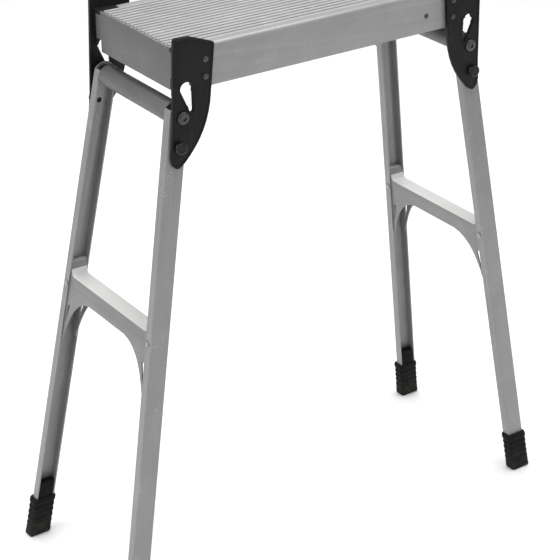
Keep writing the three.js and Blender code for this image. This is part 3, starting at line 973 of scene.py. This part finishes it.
@dataclass
class CornerBracket:
    """A moulded black corner bracket with raised beads on its face and two rivets.

    Attributes:
        rounding: Rounding of its edges.
        bead: Width of a raised bead.
        raise_by: How far a bead stands out of the face.
        margin: Gap from the outline or the finger hole to its bead.
    """

    builder: Builder
    end: End
    side: Side
    rounding: float = 0.8 * MM
    bead: float = 2.2 * MM
    raise_by: float = 0.7 * MM
    margin: float = 1.3 * MM

    def build(self) -> None:
        """Builds the bracket and its rivets."""
        corner = corner_name(self.side, self.end)
        node = f"{corner}_bracket"
        shape = softened(node, self.rounding, 3)
        outline, finger_hole = self.face_loops(node)[:2]
        self.add_bead(shape, outline, -1.0)
        self.add_bead(shape, finger_hole, 1.0)
        bmesh.ops.recalc_face_normals(shape, faces=shape.faces)
        mesh = finished_mesh(shape, node)
        self.builder.put(node + "_moulding", mesh, "bracket", Slot.BRACKET, "platform", node)
        self.rivets(corner)

    def face_loops(self, node: str) -> list[list[Vector]]:
        """The borders of the bracket's outer face, longest first.

        Args:
            node: The CAD node.

        Returns:
            The borders, each a list of points in order.
        """
        shape = cad_shape(node)
        shape.normal_update()
        outer = max(v.co.y * self.side.value for v in shape.verts)
        face_set = {
            f for f in shape.faces
            if f.normal.y * self.side.value > 0.999
            and abs(f.calc_center_median().y * self.side.value - outer) < 0.1 * MM
        }
        border = {e for e in shape.edges if sum(f in face_set for f in e.link_faces) == 1}
        loops = []
        while border:
            edge = border.pop()
            first, vert = edge.verts
            loop = [first.co.copy()]
            while vert is not first:
                loop.append(vert.co.copy())
                edge = next(e for e in vert.link_edges if e in border)
                border.remove(edge)
                vert = edge.other_vert(vert)
            loops.append(loop)
        shape.free()
        return sorted(loops, key=self.length, reverse=True)

    @staticmethod
    def length(loop: list[Vector]) -> float:
        """Length of a closed loop."""
        return sum((a - b).length for a, b in zip(loop, loop[1:] + loop[:1]))

    def add_bead(self, shape: BMesh, loop: list[Vector], way: float) -> None:
        """Adds a raised bead beside a border.

        Args:
            shape: Where to add it.
            loop: The border.
            way: +1 for a bead outside the loop, -1 for one inside it.
        """
        out = self.side.value
        rings = []
        sunk, lift = -0.1 * MM, self.raise_by
        for step, height in ((0.0, sunk), (0.25, lift), (0.75, lift), (1.0, sunk)):
            shifted = self.offset(loop, way * (self.margin + step * self.bead))
            rings.append([point + Vector((0, out * height, 0)) for point in shifted])
        closed_loft(shape, rings, joined=True)

    @staticmethod
    def offset(loop: list[Vector], distance: float) -> list[Vector]:
        """A loop in an XZ plane, moved outwards by a distance.

        Args:
            loop: The loop.
            distance: How far outwards, or inwards when negative.

        Returns:
            The moved loop, with one point for each of its points.
        """
        pairs = list(zip(loop, loop[1:] + loop[:1]))
        turn = 1.0 if sum(a.x * b.z - b.x * a.z for a, b in pairs) > 0 else -1.0
        normals = [Vector(((b - a).z, 0.0, -(b - a).x)).normalized() * turn for a, b in pairs]
        moved = []
        for i, point in enumerate(loop):
            before, after = normals[i - 1], normals[i]
            middle = (before + after).normalized()
            moved.append(point + middle * distance / max(middle.dot(after), MITRE_LIMIT))
        return moved

    def rivets(self, corner: str) -> None:
        """Builds the rivets between the bracket of a corner and its rail."""
        nodes = [f"{corner}_bracket_rivet_{i}" for i in (1, 2)]
        out = self.side.value
        points = [(rivet_seat(node, 1, out), Vector((0, out, 0))) for node in nodes]
        self.builder.put_rivets(f"{corner}_bracket_rivets", points, RIVET, "oiled", "platform", *nodes)


@dataclass
class Boot:
    """A rubber boot: grip ribs round it, a chamfered sole and a tongue up the channel.

    Attributes:
        height: Height of the boot.
        sole: Thickness of its sole.
        side: Wall beside the channel.
        outer: Wall on the outer face.
        inner: Wall on the inner face.
        tongue: Height of the tongue.
        ribs: Number of grip ribs.
        corner: Radius of its upright corners.
        gap: Gap between its pocket and the channel.
        crease: Angle in radians past which its edges stay sharp.
    """

    builder: Builder
    end: End
    side_of: Side
    height: float = 67 * MM
    sole: float = 10 * MM
    side: float = 3 * MM
    outer: float = 4 * MM
    inner: float = 2.3 * MM
    tongue: float = 95 * MM
    ribs: int = 4
    corner: float = 4.2 * MM
    gap: float = 0.3 * MM
    crease: float = 0.9

    def stations(self) -> list[tuple[float, float]]:
        """Heights of the outer wall's rings, each with how far it stands out from the plain wall."""
        rows = [(0.0, -1.6 * MM), (0.8 * MM, -0.5 * MM), (2.4 * MM, 0.0), (8 * MM, 0.0), (9 * MM, -0.7 * MM)]
        rows += [(10.5 * MM, -0.7 * MM), (11.5 * MM, 0.0)]
        first, last = 20 * MM, 50 * MM
        for i in range(self.ribs):
            z = first + (last - first) * i / (self.ribs - 1)
            for dz, out in ((-2.4, -0.7), (-1.4, 0.0), (1.4, 0.0), (2.4, -0.7)):
                rows.append((z + dz * MM, out * MM))
        rows += [(56.5 * MM, -0.7 * MM), (58 * MM, 0.35 * MM), (59.5 * MM, 0.6 * MM), (63 * MM, 0.6 * MM)]
        rows += [(64.4 * MM, 0.2 * MM), (self.height - 0.8 * MM, -0.3 * MM), (self.height, -1.1 * MM)]
        return rows

    def build(self) -> None:
        """Builds the boot."""
        shape = bmesh.new()
        half_x = LINE.width / 2 + self.side
        half_y = (LINE.depth + self.outer + self.inner) / 2
        shift = (self.outer - self.inner) / 2
        rings = [
            rounded_ring(half_x + out, half_y + out, self.corner + out, shift, z)
            for z, out in self.stations()
        ]
        pocket_x, pocket_y = LINE.width / 2 + self.gap, LINE.depth / 2 + self.gap
        for z in (self.height, self.height - 0.6 * MM, self.sole):
            rings.append(rounded_ring(pocket_x, pocket_y, 2.2 * MM, 0.0, z))
        closed_loft(shape, rings)
        tongue_x, tongue_y = LINE.width / 2 - 2.4 * MM, LINE.depth / 2 - 1.2 * MM
        middle = -1.3 * MM
        tongue = []
        top = self.tongue
        for z, inset in (
            (self.sole - 1 * MM, 0.0), (top - 3 * MM, 0.0), (top - 0.8 * MM, 0.8 * MM), (top, 2.4 * MM),
        ):
            tongue.append(rounded_ring(tongue_x - inset, tongue_y - inset, 2.6 * MM - inset / 2, middle, z))
        closed_loft(shape, tongue)
        for vert in shape.verts:
            vert.co = LINE.leaned(vert.co, self.end, self.side_of)
        bmesh.ops.recalc_face_normals(shape, faces=shape.faces)
        corner = corner_name(self.side_of, self.end)
        mesh = finished_mesh(shape, f"{corner}_boot", self.crease)
        body = f"{self.end.word}_leg_frame"
        self.builder.put(f"{corner}_rubber_boot", mesh, "rubber", Slot.RUBBER, body, f"{corner}_foot")


@dataclass
class LegFrame:
    """One folding pair of legs with its rung, crossbar, bushes, bolts and rivets.

    Attributes:
        channel_rounding: Rounding of the channels' edges.
        rung_rounding: Rounding of the rung's edges.
        bar_radius: Radius of the crossbar.
        bar_bore: Radius of its bore.
        bolt_radius: Radius of the bolts' shanks.
        head_radius: Radius of the bolts' heads.
        top_slope: Upward part of its normal past which a face of the rung counts as its top and gets painted
            light; the other faces get painted shade.
    """

    builder: Builder
    end: End
    channel_rounding: float = 0.4 * MM
    rung_rounding: float = 0.5 * MM
    bar_radius: float = 15 * MM
    bar_bore: float = 12 * MM
    bolt_radius: float = 5 * MM
    head_radius: float = 9 * MM
    top_slope: float = 0.3

    @property
    def body(self) -> str:
        """The CAD body of this leg frame."""
        return f"{self.end.word}_leg_frame"

    @property
    def axle(self) -> Vector:
        """The middle of the crossbar."""
        low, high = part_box(f"{self.end.word}_crossbar")
        return (Vector(low) + Vector(high)) / 2

    def build(self) -> None:
        """Builds every piece of the frame."""
        for side in Side:
            leg = corner_name(side, self.end) + "_leg"
            self.builder.put_softened(leg, self.channel_rounding, "leg", Slot.LEG, self.body)
            self.bush(side)
            self.bolt(side)
            Boot(self.builder, self.end, side).build()
        self.rung()
        self.crossbar()
        self.rivets()

    def rung(self) -> None:
        """Builds the rung: its top faces get a painted highlight and its pressed side plates get painted
        shade.
        """
        node = f"{self.end.word}_rung"
        mesh = finished_mesh(softened(node, self.rung_rounding), node)
        self.builder.put(node + "_skin", mesh, "rung", Slot.RUNG, self.body, node)
        # Painted light and shade: faces that point up get the lighter copy of the metal, and all others get
        # the darker copy.
        mesh.materials.append(self.builder.workshop.material("arch"))
        for face in mesh.polygons:
            face.material_index = 0 if face.normal.z > self.top_slope else 1

    def crossbar(self) -> None:
        """Builds the crossbar tube, with rolled ends."""
        node = f"{self.end.word}_crossbar"
        low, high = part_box(node)
        half = (high[1] - low[1]) / 2
        r, b, c = self.bar_radius, self.bar_bore, 0.8 * MM
        profile = [(b, -half + c / 2), (b + c / 2, -half), (r - c, -half), (r - c * 0.3, -half + c * 0.3)]
        profile += [(r, -half + c), (r, half - c), (r - c * 0.3, half - c * 0.3), (r - c, half)]
        profile += [(b + c / 2, half), (b, half - c / 2), (b, -half + c / 2)]
        self.builder.put_turned(node, "_tube", profile, self.axle, 1, "panel", Slot.PANEL, self.body, 64)

    def bush(self, side: Side) -> None:
        """Builds the bush in the head of the leg on a side."""
        node = corner_name(side, self.end) + "_head_bush"
        place = Turning.of(node)
        near, far, radius = place.near, place.far, place.radius
        spigot, bore, shoulder = self.bar_bore - 0.3 * MM, self.bolt_radius + 0.3 * MM, near + 11 * MM
        profile = [(bore, near), (spigot - 1 * MM, near), (spigot, near + 1 * MM), (spigot, shoulder)]
        profile += [(radius - 0.5 * MM, shoulder), (radius, shoulder + 0.5 * MM), (radius, far - 0.8 * MM)]
        profile += [(radius - 0.8 * MM, far), (bore, far), (bore, near)]
        centre = Vector((self.axle.x, 0.0, self.axle.z))
        self.builder.put_turned(
            node, "_moulding", profile, centre, side.value, "bracket", Slot.BRACKET, self.body,
        )

    def bolt(self, side: Side) -> None:
        """Builds the pivot bolt on a side, with a domed head and a round drive recess."""
        node = corner_name(side, self.end) + "_pivot_bolt"
        place = Turning.of(node)
        near, far = place.near, place.far
        r, h, face = self.bolt_radius, self.head_radius, far - 3.6 * MM
        profile = [(0.0, near), (r - 0.8 * MM, near), (r, near + 0.8 * MM), (r, face), (h - 0.3 * MM, face)]
        profile += [(h, face + 0.3 * MM), (h, face + 1.3 * MM), (h * 0.95, face + 2.0 * MM)]
        profile += [(h * 0.82, face + 2.8 * MM), (h * 0.6, face + 3.4 * MM), (h * 0.42, far)]
        profile += [(h * 0.34, far - 0.3 * MM), (h * 0.32, far - 1.8 * MM), (0.0, far - 2.0 * MM)]
        centre = Vector((self.axle.x, 0.0, self.axle.z))
        self.builder.put_turned(
            node, "_steel", profile, centre, side.value, "oiled", Slot.FASTENER, self.body,
        )

    def rivets(self) -> None:
        """Builds the rivets between the legs and the rung."""
        nodes = []
        points = []
        for side in Side:
            for place in ("outer", "inner"):
                node = f"{side.word}_{self.end.word}_rung_rivet_{place}"
                outward = self.end.value * (1 if place == "outer" else -1)
                axis = Vector((outward, 0.0, outward * self.end.value * LINE.splay_x)).normalized()
                points.append((rivet_seat(node, 0, outward), axis))
                nodes.append(node)
        name = f"{self.end.word}_rung_rivets"
        self.builder.put_rivets(name, points, RIVET, "zinc", self.body, *nodes)


@dataclass
class ReleaseButton:
    """A release button with rings on its cap, and the coil spring under it.

    Attributes:
        shank: Radius of the shank.
        cap: Radius of the cap.
        thickness: Thickness of the cap.
        recess: Radius of the recess under the cap, which the spring enters.
        recess_depth: Depth of that recess.
    """

    builder: Builder
    end: End
    side: Side
    shank: float = 3 * MM
    cap: float = 8.4 * MM
    thickness: float = 4.2 * MM
    recess: float = 6.2 * MM
    recess_depth: float = 2.9 * MM

    def build(self) -> None:
        """Builds the button and its spring."""
        corner = corner_name(self.side, self.end)
        node = f"{corner}_release_button"
        place = Turning.of(node)
        near, far = place.near, place.far
        s, c, seat = self.shank, self.cap, far - self.thickness
        floor = seat + self.recess_depth
        profile = [(0.0, near), (s - 0.6 * MM, near), (s, near + 0.6 * MM), (s, floor), (self.recess, floor)]
        profile += [(self.recess, seat + 0.3 * MM), (self.recess + 0.3 * MM, seat), (c - 0.4 * MM, seat)]
        profile += [(c, seat + 0.4 * MM), (c, far - 1.6 * MM), (c * 0.95, far - 0.8 * MM)]
        profile += [(c * 0.85, far - 0.35 * MM)]
        for ring in (0.72, 0.5, 0.28):
            profile += [(c * ring, far - 0.1 * MM), (c * (ring - 0.05), far - 0.5 * MM)]
            profile += [(c * (ring - 0.1), far - 0.05 * MM)]
        profile += [(0.0, far)]
        self.builder.put_turned(
            node, "_cap", profile, place.centre, self.side.value, "button", Slot.BUTTON, f"{corner}_button",
        )
        self.spring(corner)

    def spring(self, corner: str) -> None:
        """Builds the coil under the cap of a corner."""
        node = f"{corner}_button_spring"
        place = Turning.of(node)
        wire = SPRING_WIRE
        foot = place.centre + Vector((0.0, self.side.value * (place.near + wire), 0.0))
        values = {
            "Turns": SPRING_TURNS,
            "Radius": place.radius - wire,
            "Height": place.far - place.near - 2 * wire,
            "Wire": wire,
        }
        carrier = point_carrier([(foot, Vector((0, self.side.value, 0)))])
        coils = self.builder.coils
        self.builder.put_baked(
            node + "_wire", coils, carrier, values, "zinc", Slot.FASTENER, "platform", node,
        )


# ---- Studio -------------------------------------------------------------------------------------


@dataclass
class Studio:
    """The pale floor, the soft light and the camera.

    Attributes:
        azimuth: Turn of the view to the right of +Y, in degrees.
        pitch: How far the camera looks down, in degrees.
        roll: Roll of the camera, in degrees.
        place: Where the camera stands.
        lens: Focal length over the width of a 36 mm sensor.
        floor_size: Side of the floor's square.
        floor_z: Height of the floor, just under the feet.
    """

    azimuth: float = 35.6
    pitch: float = 27.28
    roll: float = 0.33
    place: tuple[float, float, float] = (-1.391, -1.926, 1.618)
    lens: float = 113.85
    floor_size: float = 14.0
    floor_z: float = -0.5 * MM

    def build(self) -> None:
        """Builds the studio."""
        self.camera()
        self.floor()
        self.lights()

    def camera(self) -> None:
        """Places the camera."""
        yaw, pitch, roll = (math.radians(v) for v in (self.azimuth, self.pitch, self.roll))
        forward = Vector((math.sin(yaw) * math.cos(pitch), math.cos(yaw) * math.cos(pitch), -math.sin(pitch)))
        right = Vector((math.cos(yaw), -math.sin(yaw), 0.0))
        up = right.cross(forward)
        turned_right = right * math.cos(roll) + up * math.sin(roll)
        turned_up = up * math.cos(roll) - right * math.sin(roll)
        data = bpy.data.cameras.new("camera")
        data.lens = self.lens
        data.sensor_width = 36.0
        data.clip_end = 100.0
        camera = bpy.data.objects.new("camera", data)
        turn = Matrix((turned_right, turned_up, -forward)).transposed().to_4x4()
        camera.matrix_world = Matrix.Translation(self.place) @ turn
        bpy.context.scene.collection.objects.link(camera)
        bpy.context.scene.camera = camera

    def floor(self) -> None:
        """Builds the floor."""
        half = self.floor_size / 2
        shape = bmesh.new()
        corners = ((-half, -half), (half, -half), (half, half), (-half, half))
        shape.faces.new([shape.verts.new((x, y, self.floor_z)) for x, y in corners])
        floor = bpy.data.objects.new("studio_floor", finished_mesh(shape, "studio_floor"))
        material = bpy.data.materials.new("pale_floor")
        material.use_nodes = True
        canvas = Canvas(material.node_tree)
        place = canvas.add("ShaderNodeTexCoord").outputs["Object"]
        tone = canvas.spread(canvas.noise(place, 1.5), 0.3, 0.7)
        color = canvas.blend(tone, (0.93, 0.93, 0.93, 1.0), (0.96, 0.96, 0.96, 1.0))
        principled = material.node_tree.nodes["Principled BSDF"]
        canvas.feed(principled.inputs["Base Color"], color)
        principled.inputs["Roughness"].default_value = 0.9
        floor.data.materials.append(material)
        bpy.context.scene.collection.objects.link(floor)

    def lights(self) -> None:
        """Places the soft lights and the pale surroundings."""
        world = bpy.data.worlds.new("studio")
        world.use_nodes = True
        background = world.node_tree.nodes["Background"]
        background.inputs["Color"].default_value = (1.0, 1.0, 1.0, 1.0)
        background.inputs["Strength"].default_value = 0.55
        bpy.context.scene.world = world
        bpy.context.scene.view_settings.view_transform = "Standard"
        self.area("left_softbox", (-3.2, 0.3, 2.2), 2.4, 40.0)
        self.area("top_softbox", (0.3, 0.2, 3.6), 3.2, 125.0)
        self.area("front_fill", (1.6, -3.4, 1.9), 2.2, 8.0)

    def area(self, name: str, place: tuple[float, float, float], size: float, power: float) -> None:
        """Adds an area light that faces the platform.

        Args:
            name: The light's name.
            place: Where it stands.
            size: Side of its square, in metres.
            power: Its power in watts.
        """
        data = bpy.data.lights.new(name, "AREA")
        data.size = size
        data.energy = power
        light = bpy.data.objects.new(name, data)
        light.location = place
        aim = Vector((0.0, 0.0, 0.45)) - Vector(place)
        light.rotation_euler = aim.to_track_quat("-Z", "Y").to_euler()
        bpy.context.scene.collection.objects.link(light)


def main() -> None:
    """Builds the studio and every piece of the platform."""
    logging.basicConfig(level=logging.INFO, format="%(name)s: %(message)s")
    Studio().build()
    builder = Builder()
    Deck(builder).build()
    for end in End:
        LegFrame(builder, end).build()
        for side in Side:
            CornerBracket(builder, end, side).build()
            ReleaseButton(builder, end, side).build()


if __name__ == "__main__":
    main()
